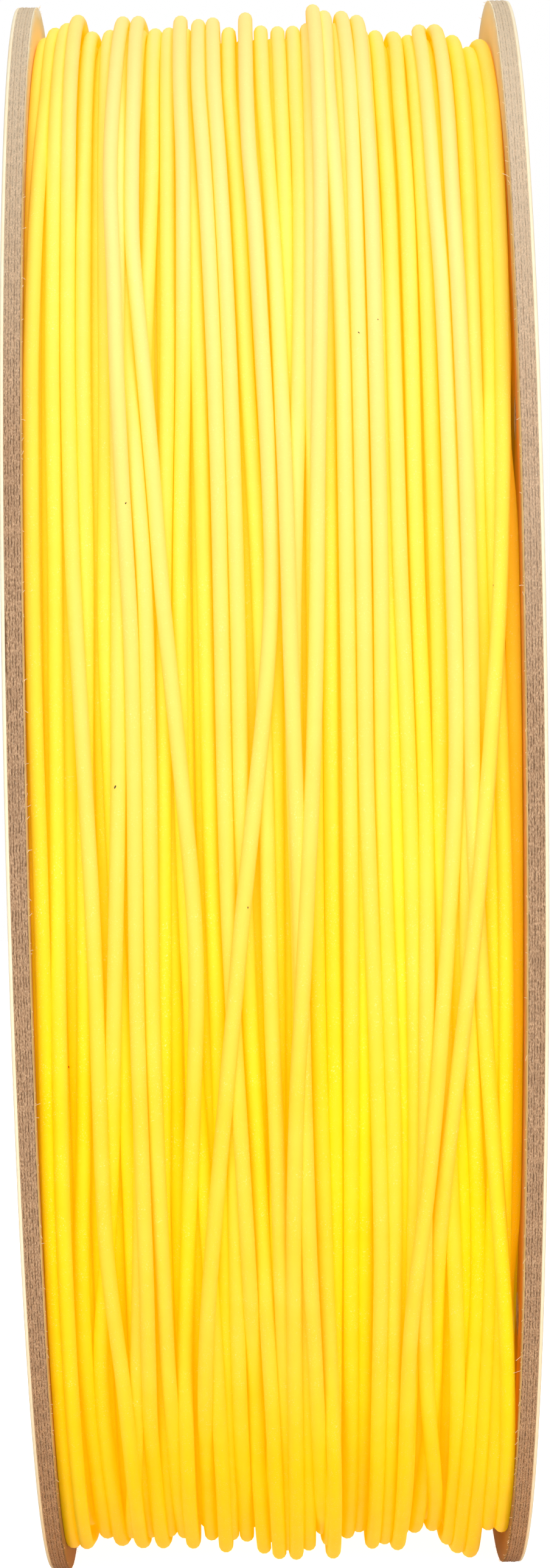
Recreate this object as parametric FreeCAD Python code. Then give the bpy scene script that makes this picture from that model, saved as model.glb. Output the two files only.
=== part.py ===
"""Paperboard reel wound full of round plastic strand, seen in the photo on edge.

Frame: millimetres, origin on the spindle axis midway between the flanges, +X along
that axis from the left flange to the right one, +Z up, -Y towards the viewer.
Angles round the axis start at -Y and turn towards +Z.
"""
import FreeCAD, Part
import math
import os

V = FreeCAD.Vector

# Flanges: three sheets of grey board pasted together, with a facing paper on each side
FLANGE_DIA = 200.0
BORE_DIA = 55.0
SHEET_THICK = 0.68
OUTER_FACING_THICK = 0.30
INNER_FACING_THICK = 0.15
SHEET_NAMES = ("outer_sheet", "middle_sheet", "inner_sheet")
WINDING_GAP = 56.0

# Round holes near the rim, for tucking in the strand's free end
RIM_HOLE_COUNT = 5
RIM_HOLE_DIA = 5.0
RIM_HOLE_BELOW_RIM = 10.0
RIM_HOLE_FIRST_ANGLE = 27.7
RIM_HOLE_OF_FREE_END = 2

# Hollow core tube, and the ring on each flange that centres it
TUBE_DIA = 110.0
TUBE_WALL = 4.0
RING_THICK = 2.2
RING_WIDTH = 12.8
RING_CLEAR = 0.20
GLUE_LEG = 2.4

# Strand
STRAND_DIA = 1.75
WOUND_BELOW_RIM = 2.1
FIT_CLEAR = 0.10
FREE_SIDE_GAP = 2.1
FREE_END_LEAD_ANGLE = 50.0
FREE_END_DIVE_RADIUS = 60.0
FREE_END_TAIL = 1.75
TUBE_HOLE_DIA = 3.0
INNER_END_ANGLE = 200.0
INNER_END_FROM_FLANGE = 12.0
INNER_END_BEND_RADIUS = 3.0
INNER_END_TAIL = 9.0

# Worked out from the above
FLANGE_R = FLANGE_DIA / 2
BORE_R = BORE_DIA / 2
TUBE_R = TUBE_DIA / 2
TUBE_INNER_R = TUBE_R - TUBE_WALL
FACE_X = WINDING_GAP / 2
STRAND_R = STRAND_DIA / 2
WOUND_R = FLANGE_R - WOUND_BELOW_RIM
TURN_R = WOUND_R - STRAND_R
KINK_RADIUS = STRAND_DIA
LAYER_R = TURN_R - STRAND_R
HOLE_CIRCLE_R = FLANGE_R - RIM_HOLE_BELOW_RIM


def at(x, r, angle):
    """The point at x along the axis, r from it, at the given angle in degrees."""
    a = math.radians(angle)
    return V(x, -r * math.cos(a), r * math.sin(a))


def outward(angle):
    return at(0, 1, angle)


def onward(angle):
    """Direction of travel round the axis, as the angle grows."""
    return at(0, 1, angle + 90)


def annulus(x, thick, outer_r, inner_r):
    """A flat ring from x to x + thick along the axis."""
    start = V(x, 0, 0)
    axis = V(1, 0, 0)
    disc = Part.makeCylinder(outer_r, thick, start, axis)
    return disc.cut(Part.makeCylinder(inner_r, thick, start, axis))


def rim_hole_angle(index):
    return RIM_HOLE_FIRST_ANGLE + index * 360.0 / RIM_HOLE_COUNT


def flange_layer(x, thick):
    """One die-cut layer of a flange, with the spindle bore and the rim holes."""
    layer = annulus(x, thick, FLANGE_R, BORE_R)
    for index in range(RIM_HOLE_COUNT):
        foot = at(x, HOLE_CIRCLE_R, rim_hole_angle(index))
        layer = layer.cut(Part.makeCylinder(RIM_HOLE_DIA / 2, thick, foot, V(1, 0, 0)))
    return layer


def mirrored(shape):
    return shape.mirror(V(0, 0, 0), V(1, 0, 0))


def right_flange():
    """The layers of the right flange by name, from the winding outwards."""
    layers = {"inner_facing": flange_layer(FACE_X, INNER_FACING_THICK)}
    x = FACE_X + INNER_FACING_THICK
    for name in reversed(SHEET_NAMES):
        layers[name] = flange_layer(x, SHEET_THICK)
        x += SHEET_THICK
    layers["outer_facing"] = flange_layer(x, OUTER_FACING_THICK)
    return layers


def locating_ring():
    """Board ring glued to the right flange, inside the core tube."""
    outer_r = TUBE_INNER_R - RING_CLEAR
    return annulus(FACE_X - RING_THICK, RING_THICK, outer_r, outer_r - RING_WIDTH)


def glue_bead():
    """Hollow-faced bead of glue in the corner between the ring and the tube."""
    ring_face = FACE_X - RING_THICK
    corner = V(ring_face, 0, TUBE_INNER_R)
    on_tube = V(ring_face - GLUE_LEG, 0, TUBE_INNER_R)
    on_ring = V(ring_face, 0, TUBE_INNER_R - GLUE_LEG)
    centre = V(ring_face - GLUE_LEG, 0, TUBE_INNER_R - GLUE_LEG)
    middle = centre + V(1, 0, 1).multiply(GLUE_LEG / math.sqrt(2))
    edges = [
        Part.LineSegment(corner, on_tube).toShape(),
        Part.Arc(on_tube, middle, on_ring).toShape(),
        Part.LineSegment(on_ring, corner).toShape(),
    ]
    profile = Part.Face(Part.Wire(edges))
    return profile.revolve(V(0, 0, 0), V(1, 0, 0), 360)


def inner_end_x():
    return -FACE_X + INNER_END_FROM_FLANGE


def core_tube():
    """Wound paper tube between the flanges, holed for the strand's inner end."""
    tube = annulus(-FACE_X, WINDING_GAP, TUBE_R, TUBE_INNER_R)
    start = at(inner_end_x(), TUBE_INNER_R - TUBE_WALL, INNER_END_ANGLE)
    hole = Part.makeCylinder(TUBE_HOLE_DIA / 2, 3 * TUBE_WALL, start, outward(INNER_END_ANGLE))
    return tube.cut(hole)


def arc_from(start, direction, end):
    """The arc that leaves start along direction and ends at end."""
    chord = end - start
    along = V(chord).normalize()
    bulge = V(direction).normalize()
    half_turn = math.acos(max(-1.0, min(1.0, bulge.dot(along))))
    side = (bulge - along * bulge.dot(along)).normalize()
    middle = start + chord * 0.5 + side * (chord.Length / 2 * math.tan(half_turn / 2))
    return Part.Arc(start, middle, end).toShape()


def winding_layer(outer_r, inner_r):
    """A plain sleeve for layers of the strand, with the open gap at the right flange."""
    left = -FACE_X + FIT_CLEAR
    right = FACE_X - FREE_SIDE_GAP
    return annulus(left, right - left, outer_r, inner_r)


def free_end_path():
    """Edges of the free end: along the last turn, down to its rim hole and out through it.

    It dives in the open gap beside the winding, on a tighter arc that is tangent to the
    last turn and meets the circle of the rim holes.
    """
    offset = TURN_R - FREE_END_DIVE_RADIUS
    cosine = (HOLE_CIRCLE_R ** 2 - offset ** 2 - FREE_END_DIVE_RADIUS ** 2) / (
        2 * offset * FREE_END_DIVE_RADIUS)
    turned = math.acos(cosine)
    covered = math.atan2(
        FREE_END_DIVE_RADIUS * math.sin(turned), offset + FREE_END_DIVE_RADIUS * cosine)
    kink_cover = KINK_RADIUS / HOLE_CIRCLE_R
    dive_angle = rim_hole_angle(RIM_HOLE_OF_FREE_END) - math.degrees(covered + kink_cover)
    end_angle = dive_angle + math.degrees(turned)

    # The last turn's end, and one arc down from it
    x = FACE_X - FREE_SIDE_GAP / 2
    start = at(x, TURN_R, dive_angle - FREE_END_LEAD_ANGLE)
    halfway = at(x, TURN_R, dive_angle - FREE_END_LEAD_ANGLE / 2)
    top = at(x, TURN_R, dive_angle)
    arc_centre = at(x, offset, dive_angle)
    middle = arc_centre + outward((dive_angle + end_angle) / 2) * FREE_END_DIVE_RADIUS
    bottom = arc_centre + outward(end_angle) * FREE_END_DIVE_RADIUS

    # A kink from the direction of travel to +X, then straight through the flange
    travel = onward(end_angle)
    turn_out = bottom + (travel + V(1, 0, 0)) * KINK_RADIUS
    return [
        Part.Arc(start, halfway, top).toShape(),
        Part.Arc(top, middle, bottom).toShape(),
        arc_from(bottom, travel, turn_out),
        Part.LineSegment(turn_out, turn_out + V(FREE_END_TAIL, 0, 0)).toShape(),
    ]


def inner_end_path():
    """Edges of the inner end: down through the tube's wall, then folded along it."""
    x = inner_end_x()
    inward = outward(INNER_END_ANGLE) * -1
    top = at(x, TUBE_R, INNER_END_ANGLE)
    bend = at(x, TUBE_INNER_R - STRAND_R, INNER_END_ANGLE)
    after = bend + (inward + V(1, 0, 0)) * INNER_END_BEND_RADIUS
    return [
        Part.LineSegment(top, bend).toShape(),
        arc_from(bend, inward, after),
        Part.LineSegment(after, after + V(INNER_END_TAIL, 0, 0)).toShape(),
    ]


def tube_along(name, edges):
    """Round tube of the strand's thickness along a chain of edges."""
    first = edges[0]
    start = first.valueAt(first.FirstParameter)
    ring = Part.Circle(start, first.tangentAt(first.FirstParameter), STRAND_R).toShape()
    tube = Part.Wire(edges).makePipeShell([Part.Wire([ring])], True, False)
    length = sum(edge.Length for edge in edges)
    print("%s: volume over section times length %.4f" % (
        name, tube.Volume / (math.pi * STRAND_R ** 2 * length)))
    return tube


def write(name, shape):
    if not shape.isValid() or len(shape.Solids) != 1:
        raise ValueError("%s is not one valid solid" % name)
    shape.Solids[0].exportStep("parts/%s.step" % name)


def main():
    os.makedirs("parts", exist_ok=True)
    for name, shape in right_flange().items():
        write("right_" + name, shape)
        write("left_" + name, mirrored(shape))
    for name, shape in (("locating_ring", locating_ring()), ("glue_bead", glue_bead())):
        write("right_" + name, shape)
        write("left_" + name, mirrored(shape))
    write("core_tube", core_tube())
    write("strand_inner_layers", winding_layer(LAYER_R - FIT_CLEAR, TUBE_R + FIT_CLEAR))
    write("strand_outer_turns", winding_layer(WOUND_R, LAYER_R))
    for name, edges in (("inner_end", inner_end_path()), ("free_end", free_end_path())):
        write("strand_" + name, tube_along("strand_" + name, edges))


main()
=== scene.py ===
"""Looks of the paperboard reel of yellow strand, seen on edge.

The frame is the reel's own: metres, origin on the spindle axis midway between the
flanges, +X along that axis, +Z up, -Y towards the viewer. Angles round the axis are in
degrees, from -Y towards +Z, so the top of the reel is at 90 and its back at 180.
"""

import math

import bmesh
import bpy
import numpy as np
from mathutils import Matrix, Vector, geometry, noise


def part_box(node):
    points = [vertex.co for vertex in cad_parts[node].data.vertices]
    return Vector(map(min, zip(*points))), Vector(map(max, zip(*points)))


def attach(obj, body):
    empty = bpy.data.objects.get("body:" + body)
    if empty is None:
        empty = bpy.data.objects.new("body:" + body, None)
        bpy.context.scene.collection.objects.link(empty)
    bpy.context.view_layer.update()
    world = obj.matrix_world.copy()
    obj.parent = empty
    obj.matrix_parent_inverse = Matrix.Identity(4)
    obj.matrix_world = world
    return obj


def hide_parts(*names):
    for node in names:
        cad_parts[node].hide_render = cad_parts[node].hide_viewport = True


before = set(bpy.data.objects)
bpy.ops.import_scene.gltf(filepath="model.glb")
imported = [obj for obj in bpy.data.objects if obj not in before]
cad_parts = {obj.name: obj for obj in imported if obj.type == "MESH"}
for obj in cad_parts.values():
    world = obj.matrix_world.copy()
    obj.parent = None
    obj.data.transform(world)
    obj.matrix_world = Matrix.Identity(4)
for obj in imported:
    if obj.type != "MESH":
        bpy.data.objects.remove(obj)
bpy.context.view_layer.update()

MM = 0.001
SIDES = (("left", -1), ("right", 1))

# Strand
STRAND_DIA = 1.79 * MM
STRAND_R = STRAND_DIA / 2
TURN_R = 97.025 * MM

# Samples of each turn, the angle down to which and up to which the lanes are given,
# and the smoothing of the samples' x and height, in samples
SAMPLES = 240
FRONT_END = 75.0
X_SMOOTHING = 1.6
HEIGHT_SMOOTHING = 1.8

# How a turn settles between two others: they are squeezed together, and it sinks in
SQUEEZE = 1.06
BITE = 0.95

# How far the turns stray at the back of the reel
LOWER_WANDER = 0.03 * MM
MIDDLE_WANDER = 0.15 * MM
UPPER_WANDER = 0.4 * MM

# The strand's pieces, and the sides of their round section
PIECES = (
    ("strand_lower_turns", 8), ("strand_second_turns", 10), ("strand_middle_turns", 12),
    ("strand_upper_turns", 12))

# Lower turns: two regular layers on a ribbed drum
LOWER_PITCH = 1.885 * MM
LOWER_LEFT = -26.16 * MM
SECOND_LEFT = -27.1 * MM
LOWER_COUNT = 28
SECOND_COUNT = 28
LOWER_UNEVENNESS = 0.06
REGULAR_ANGLES = (-75, -25, 25, 75)
DRUM_R = 91.3 * MM
SIDE_GAP_R = 87.2 * MM
DRUM_CLEAR = 0.1 * MM
RIB_STEPS = 8
DRUM_STEPS = 144

# No turn stands higher than TALLEST_R, and those that come near it are flattened gently
TALLEST_R = 99.3 * MM
FLATTENING = 1.0 * MM

# Where the layers further down stand higher or lower, as (angle, x in mm, height in mm)
HUMPS = (
    (84, -19, 0.8), (84, -12.5, 1.0), (84, -6, 0.5), (82, -1, 1.0), (84, 6, 1.2), (84, 11, 0.6),
    (84, 21, -0.8), (-82, -26, 0.5), (-82, -21.5, 0.8), (-82, -14, 0.8), (-82, -9, 1.4),
    (-82, -3, 1.2), (-82, 0.5, 1.6), (-82, 6.5, -0.6), (-82, 16, -0.6), (-82, 22, -2.4))
HUMP_ANGLE = 22.0
HUMP_WIDTH = 3.0 * MM

# Free end: into a hole of the right flange, at the back
HOLE_CIRCLE_R = 90.0 * MM
HOLE_R = 2.5 * MM
HOLE_FIRST_ANGLE = 27.7
HOLE_COUNT = 5
FREE_END_HOLE = 2
FREE_END_X = 26.95 * MM
FREE_END_DIVE_RADIUS = 60.0 * MM
FREE_END_TIP_X = 30.45 * MM
FREE_END_ANGLE = 135.0
LEAD_STEPS = 6
DIVE_STEPS = 24
KINK_STEPS = 6

# Flanges lean apart towards the top, by this much for each metre of height
FLARE = 0.00684
FLARE_HALF_WIDTH = 30.4 * MM
FLARE_START_R = 55.0 * MM
FLARE_FULL_R = 75.0 * MM

# Points in a flange's faces: those of its edges, and rings of more points between them, as
# (radius in mm, count), clear of the holes
BORE_R = 27.5 * MM
RIM_SAMPLES = 1440
BORE_SAMPLES = 180
HOLE_SAMPLES = 36
HOLE_MARGIN = 1.2 * MM
INNER_RINGS = (
    (98.5, 720), (96.0, 360), (85.0, 300), (75.0, 240), (65.0, 240), (55.0, 240), (40.0, 180))

# Rims: roughness in mm, and the profile across the rim from the outer side, as (share of
# the thickness, depth below the rim in mm)
SHEET_PROFILE = (
    (0.0, 0.06), (0.02, 0.04), (0.16, 0.0), (0.34, 0.0), (0.5, 0.0), (0.66, 0.0), (0.84, 0.0),
    (0.98, 0.04), (1.0, 0.06))
RIM_LAYERS = {
    "outer_facing": (
        0.08, ((0.0, 0.24), (0.08, 0.14), (0.25, 0.05), (0.5, 0.0), (0.96, 0.0), (1.0, 0.03))),
    "outer_sheet": (0.16, SHEET_PROFILE),
    "middle_sheet": (0.16, SHEET_PROFILE),
    "inner_sheet": (0.16, SHEET_PROFILE),
    "inner_facing": (0.18, ((0.0, 0.03), (0.15, 0.0), (0.5, -0.02), (0.85, 0.0), (1.0, 0.03))),
}
FACING_OVER = 0.12 * MM

# The rims' map, in metres, is laid out at this radius. It carries plies of this thickness.
RIM_MAP_R = 0.1
PLY_THICK = 0.33 * MM

# Crack between the left outer facing and its board, by angle
CRACKED = "left_outer_sheet"
CRACK_ANGLE = 9.3
CRACK_HALF_ANGLE = 2.4
CRACK_WIDTH = 0.16 * MM
CRACK_DEPTH = 0.7 * MM

# Loose fibres of the inner facings, with the long ones as (side, angle, length in mm)
HAIR_COUNT = 260
HAIR_R = 0.022 * MM
HAIR_SIDES = 4
HAIR_STEPS = 6
LONG_HAIRS = (
    ("left", 36, 1.1), ("left", 35.2, 0.8), ("left", -0.6, 0.9), ("left", -1.2, 0.7),
    ("left", 1.5, 0.6), ("left", -21, 0.7), ("right", 45, 1.0), ("right", 44.2, 0.7),
    ("right", -42, 0.9), ("right", -43.5, 1.1), ("right", 12, 0.6), ("right", -18, 0.7))

# Dark flakes on the strand: x in mm, angle and length in mm, and their width and height as
# shares of the length
FLAKE_WIDTH = 0.45
FLAKE_HEIGHT = 0.25
SPECKS = (
    (-16.4, 19, 0.30), (-18.1, 0, 0.42), (-3.4, -8, 0.26), (-24.3, -20, 0.3), (10.2, 32, 0.28),
    (12.4, 33, 0.22), (24.7, 13, 0.26))

# Camera, as the photo was taken
CAMERA_PLACE = (-1.739 * MM, -739.04 * MM, 0.0)
CAMERA_YAW = -0.00249
CAMERA_PITCH = 0.0001
CAMERA_ROLL = 0.01535
CAMERA_LENS = 131.203

# Studio. The lamps are given as name, place, target, (width, height) and power.
FLOOR_Z = -0.1
FLOOR_HALF = 3.0
FLOOR_TONE = 0.9
FLOOR_GLOW = 0.96
WORLD_STRENGTH = 0.16
DIFFUSE_BOUNCES = 16
LAMPS = (
    ("key", (0.3, -0.9, 1.2), (0, 0, 0.02), (1.2, 0.9), 0.6),
    ("front", (0, -1.0, 0.12), (0, 0, 0), (0.6, 0.6), 0.45),
    ("top", (0.1, -0.1, 1.2), (0, 0, 0.03), (1.4, 1.0), 12.0),
    ("low", (0, -0.8, -0.02), (0, 0, -0.07), (1.4, 0.12), 4.4))

# Lanes of the strand across the reel's front, as (angle, x in mm), in the order in which
# they were wound. The middle turns go from left to right, the upper ones back to the
# left, and the last ones to the right again.
DEEP_LANE = (
    (75, 26.95), (31, 26.95), (28, 26.4), (24, 26.4), (21, 27.05), (-35, 27.05), (-38, 26.4),
    (-42.5, 26.4), (-46, 26.95), (-75, 26.95))
MIDDLE_LANES = (
    ((75, -27.0), (60, -27.1), (45, -27.2), (0, -27.2), (-75, -27.2)),
    ((75, -21.3), (60, -21.3), (45, -21.2), (30, -21.2), (15, -21.0), (5, -21.3), (-5, -21.8),
     (-15, -22.2), (-25, -22.75), (-33, -23.5), (-40, -23.75), (-48, -23.7), (-60, -23.1),
     (-75, -23.0)),
    ((75, -19.0), (60, -18.9), (45, -18.75), (30, -18.6), (20, -18.75), (12, -19.0), (5, -18.85),
     (-7, -18.35), (-15, -18.0), (-30, -17.6), (-45, -17.6), (-60, -17.5), (-75, -17.4)),
    ((75, -13.4), (60, -13.4), (50, -13.3), (40, -13.7), (30, -14.3), (15, -14.8), (0, -15.3),
     (-30, -16.4), (-75, -19.8)),
    ((75, -11.7), (60, -11.6), (50, -11.5), (35, -11.5), (25, -11.8), (13, -12.35), (5, -12.55),
     (0, -12.7), (-10, -13.0), (-20, -13.4), (-30, -13.9), (-45, -14.4), (-75, -14.9)),
    ((75, -15.3), (60, -15.4), (45, -16.1), (33, -16.3), (25, -15.6), (15, -14.5), (10, -14.3),
     (0, -14.25), (-15, -14.5), (-25, -14.35), (-38, -14.0), (-45, -13.9), (-52, -13.5),
     (-60, -13.3), (-75, -13.0)),
    ((75, -9.7), (60, -9.6), (45, -8.6), (38, -8.35), (30, -8.05), (20, -7.85), (10, -7.7),
     (0, -7.6), (-10, -7.4), (-15, -7.2), (-25, -6.9), (-35, -6.8), (-75, -6.9)),
    ((75, -7.0), (60, -7.0), (45, -6.2), (30, -5.4), (15, -5.0), (0, -4.9), (-15, -5.2),
     (-30, -5.45), (-40, -5.5), (-50, -5.4), (-60, -5.2), (-75, -5.0)),
    ((75, -2.2), (60, -2.2), (45, -1.6), (30, -0.8), (15, 0.2), (0, 0.0), (-20, -0.3),
     (-40, -0.9), (-60, -1.6), (-75, -1.9)),
    ((75, 1.8), (60, 1.9), (45, 2.15), (30, 2.3), (0, 2.3), (-40, 2.0), (-75, 1.6)),
    ((75, -4.3), (60, -4.2), (45, -3.3), (38, -3.0), (30, -2.65), (22, -2.1), (15, -1.7),
     (8, -1.4), (0, -1.15), (-10, -1.05), (-18, -0.85), (-25, -0.5), (-35, -0.3), (-45, 0.0),
     (-60, 0.2), (-75, 0.3)),
    ((75, 3.7), (60, 3.7), (50, 3.9), (38, 3.75), (28, 3.3), (20, 2.75), (12, 2.25), (5, 2.0),
     (0, 1.95), (-10, 2.3), (-20, 2.4), (-40, 2.6), (-75, 2.9)),
    ((75, -0.3), (60, -0.2), (45, 0.5), (38, 0.9), (30, 1.2), (20, 1.6), (10, 1.8), (5, 1.95),
     (0, 2.15), (-10, 2.5), (-20, 2.65), (-30, 2.95), (-35, 3.15), (-42, 3.6), (-50, 3.95),
     (-57, 4.3), (-65, 4.5), (-75, 4.7)),
    ((75, 7.2), (60, 7.2), (45, 7.2), (30, 6.6), (15, 6.45), (5, 6.3), (0, 6.2), (-10, 6.15),
     (-20, 6.25), (-30, 6.2), (-38, 6.1), (-48, 5.9), (-60, 5.8), (-75, 5.6)),
    ((75, 5.45), (60, 5.4), (45, 5.3), (30, 4.9), (15, 4.6), (0, 4.4), (-8, 4.35), (-15, 4.4),
     (-20, 4.5), (-30, 4.8), (-38, 5.1), (-48, 5.7), (-58, 6.0), (-75, 6.1)),
    ((75, 9.0), (60, 9.1), (45, 9.2), (0, 9.5), (-20, 9.6), (-35, 9.65), (-50, 9.5), (-75, 9.5)),
    ((75, 12.1), (60, 12.1), (45, 12.3), (20, 12.8), (5, 13.2), (0, 13.35), (-10, 13.75),
     (-20, 14.1), (-30, 14.2), (-45, 13.7), (-75, 13.4)),
    ((75, 13.9), (60, 13.9), (45, 14.2), (30, 14.15), (15, 14.3), (8, 14.65), (0, 15.0),
     (-7, 15.15), (-15, 15.35), (-25, 15.5), (-45, 15.1), (-75, 14.9)),
    ((75, 19.8), (45, 19.9), (0, 20.25), (-18, 20.4), (-25, 20.7), (-30, 21.0), (-37, 21.2),
     (-45, 21.4), (-60, 21.6), (-75, 21.6)),
    ((75, 18.0), (60, 18.0), (45, 18.1), (35, 18.2), (25, 18.25), (15, 18.4), (8, 18.55),
     (0, 18.5), (-7, 18.45), (-15, 18.7), (-22, 19.1), (-30, 19.65), (-35, 20.05), (-40, 20.4),
     (-45, 20.65), (-52, 20.85), (-60, 20.95), (-75, 21.0)),
    ((75, 21.7), (60, 21.7), (45, 21.6), (20, 21.6), (0, 21.4), (-13, 21.3), (-21, 21.95),
     (-27, 22.5), (-33, 22.9), (-38, 22.95), (-43, 22.8), (-50, 22.5), (-57, 22.4), (-75, 22.3)),
    ((75, 23.5), (60, 23.5), (45, 23.4), (30, 23.2), (20, 23.3), (10, 23.5), (0, 23.9),
     (-7, 24.2), (-15, 24.5), (-25, 24.65), (-33, 24.55), (-40, 24.4), (-45, 24.3), (-52, 24.1),
     (-60, 24.0), (-75, 23.9)),
    ((75, 25.5), (60, 25.5), (45, 25.35), (30, 25.0), (20, 24.9), (12, 25.0), (5, 25.25),
     (0, 25.5), (-7, 25.75), (-15, 25.85), (-25, 25.85), (-35, 25.8), (-45, 25.7), (-60, 25.6),
     (-75, 25.6)),
)
UPPER_LANES = (
    ((75, 21.4), (60, 21.5), (45, 21.5), (30, 21.8), (20, 22.0), (10, 22.1), (0, 22.0),
     (-5, 22.2), (-10, 22.6), (-15, 23.15), (-20, 23.75), (-25, 24.35), (-29, 24.85),
     (-33, 25.4), (-38, 25.95), (-43, 26.4), (-49, 26.75), (-54, 27.0), (-62, 27.2), (-75, 27.3)),
    ((75, 11.7), (60, 11.8), (45, 12.1), (30, 12.1), (15, 12.15), (5, 12.0), (0, 11.9),
     (-7, 12.1), (-15, 12.5), (-22, 12.9), (-30, 13.05), (-38, 13.0), (-50, 12.9), (-60, 12.8),
     (-75, 12.8)),
    ((75, 9.8), (60, 10.1), (45, 10.2), (30, 10.2), (15, 10.2), (5, 10.15), (0, 10.1),
     (-7, 10.4), (-15, 10.85), (-22, 11.15), (-30, 11.4), (-35, 11.5), (-42, 11.35),
     (-50, 11.25), (-65, 11.2), (-75, 11.2)),
    ((75, 7.6), (60, 7.5), (45, 8.1), (30, 8.35), (15, 8.3), (0, 8.3), (-10, 8.25), (-20, 8.1),
     (-30, 8.0), (-45, 7.95), (-60, 8.0), (-75, 8.0)),
    ((75, -6.2), (60, -6.0), (45, -5.2), (38, -4.85), (30, -4.5), (20, -4.2), (10, -4.0),
     (0, -4.0), (-8, -3.75), (-15, -3.4), (-20, -3.1), (-30, -2.55), (-40, -2.0), (-50, -1.5),
     (-60, -1.2), (-75, -0.9)),
    ((75, -8.0), (60, -7.9), (45, -7.0), (38, -6.65), (30, -6.3), (20, -6.0), (10, -5.9),
     (0, -5.85), (-8, -5.7), (-17, -5.2), (-25, -4.6), (-33, -4.1), (-40, -3.8), (-48, -3.55),
     (-57, -3.4), (-75, -2.8)),
    ((75, -10.2), (60, -10.05), (50, -9.65), (40, -9.65), (30, -9.8), (20, -10.2), (12, -10.55),
     (5, -10.65), (0, -10.7), (-10, -10.4), (-19, -9.85), (-25, -9.3), (-30, -8.9), (-37, -8.5),
     (-45, -8.1), (-52, -7.9), (-60, -7.75), (-75, -7.7)),
    ((75, -17.1), (60, -17.1), (30, -17.3), (15, -17.35), (10, -17.5), (0, -17.75), (-7, -18.2),
     (-15, -18.8), (-25, -19.5), (-30, -19.9), (-35, -20.6), (-40, -21.5), (-45, -22.0),
     (-52, -21.9), (-60, -21.5), (-75, -21.2)),
    ((75, -17.4), (60, -17.8), (50, -18.1), (45, -18.1), (37, -17.6), (30, -17.4), (20, -16.8),
     (10, -16.0), (0, -15.95), (-15, -16.25), (-25, -16.1), (-35, -16.0), (-45, -16.15),
     (-52, -16.3), (-60, -16.1), (-75, -15.8)),
    ((75, -25.8), (60, -25.8), (45, -26.6), (30, -27.1), (14, -27.1), (6, -27.0), (0, -26.85),
     (-5, -26.75), (-15, -26.75), (-30, -26.95), (-45, -27.0), (-60, -27.05), (-75, -27.2)),
    ((75, -24.3), (60, -24.5), (45, -24.75), (30, -24.75), (15, -24.5), (0, -24.75),
     (-15, -25.1), (-30, -25.45), (-45, -25.5), (-60, -25.5), (-75, -25.5)),
)
LAST_LANES = (
    ((75, -22.9), (60, -23.0), (45, -23.0), (30, -22.95), (15, -22.55), (5, -21.8), (0, -21.5),
     (-7, -21.0), (-15, -20.8), (-25, -20.8), (-33, -20.7), (-40, -20.0), (-45, -19.3),
     (-52, -18.85), (-60, -18.6), (-75, -18.5)),
    ((75, -15.5), (60, -15.5), (50, -15.6), (40, -15.6), (30, -14.35), (20, -13.2), (12, -12.4),
     (5, -11.3), (0, -10.6), (-7, -9.55), (-12, -9.3), (-17, -9.5), (-20, -9.9), (-25, -10.3),
     (-30, -10.8), (-37, -11.35), (-45, -11.95), (-60, -12.0), (-75, -11.9)),
    ((75, -2.2), (60, -2.2), (50, -2.0), (45, -1.5), (37, -1.1), (30, -0.75), (24, -0.4),
     (17, -0.1), (13, -0.1), (10, -0.4), (5, -1.2), (0, -2.2), (-5, -3.3), (-10, -4.3),
     (-15, -5.2), (-20, -6.1), (-26, -7.1), (-30, -7.7), (-35, -8.5), (-40, -9.1), (-45, -9.5),
     (-52, -9.7), (-60, -9.7), (-75, -9.5)),
    ((75, 6.2), (60, 6.3), (45, 6.3), (38, 6.05), (30, 5.7), (22, 5.25), (15, 5.0), (10, 4.75),
     (5, 4.45), (0, 4.1), (-5, 3.5), (-10, 3.0), (-15, 2.5), (-20, 1.85), (-25, 1.55),
     (-30, 1.3), (-38, 1.2), (-45, 1.2), (-60, 1.3), (-75, 1.3)),
    ((75, 27.0), (60, 27.1), (45, 26.9), (38, 26.75), (30, 26.5), (25, 26.3), (18, 25.9),
     (12, 25.4), (8, 24.9), (3, 24.2), (0, 23.75), (-4, 23.1), (-8, 22.4), (-13, 21.5),
     (-17, 20.75), (-21, 20.0), (-25, 19.25), (-28, 18.75), (-31, 18.4), (-34, 18.15),
     (-40, 18.1), (-48, 18.0), (-55, 17.6), (-65, 17.1), (-75, 16.8)),
    ((75, 16.2), (60, 16.0), (45, 16.3), (30, 16.2), (20, 16.15), (12, 16.3), (5, 16.6),
     (0, 16.8), (-7, 16.85), (-15, 16.75), (-22, 16.6), (-30, 16.5), (-38, 16.55), (-44, 16.75),
     (-50, 17.25), (-55, 17.8), (-60, 18.3), (-67, 18.8), (-75, 19.05)),
    ((75, 19.1), (60, 19.2), (45, 19.4), (38, 19.8), (30, 19.95), (20, 20.15), (10, 20.3),
     (3, 20.35), (0, 20.2), (-4, 19.85), (-9, 19.35), (-14, 18.75), (-20, 17.95), (-24, 17.4),
     (-28, 16.8), (-31, 16.3), (-34, 15.7), (-38, 15.15), (-43, 14.8), (-50, 14.65),
     (-60, 14.6), (-75, 14.5)),
)


def at(x, r, angle):
    """The point at x along the axis, r from it, at the given angle in degrees."""
    a = math.radians(angle)
    return Vector((x, -r * math.cos(a), r * math.sin(a)))


def smoothstep(t):
    t = np.clip(t, 0.0, 1.0)
    return t * t * (3 - 2 * t)


def smoothed(values, sigma):
    """Gaussian smoothing of evenly spaced values, sigma in samples."""
    reach = int(math.ceil(3 * sigma))
    weights = np.exp(-0.5 * (np.arange(-reach, reach + 1) / sigma) ** 2)
    padded = np.pad(values, reach, mode="edge")
    return np.convolve(padded, weights / weights.sum(), mode="valid")


# Winding


def front_lane(lane):
    """Angles and x values of a listed lane, in metres."""
    points = sorted(lane)
    return [p[0] for p in points], [p[1] * MM for p in points]


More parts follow.
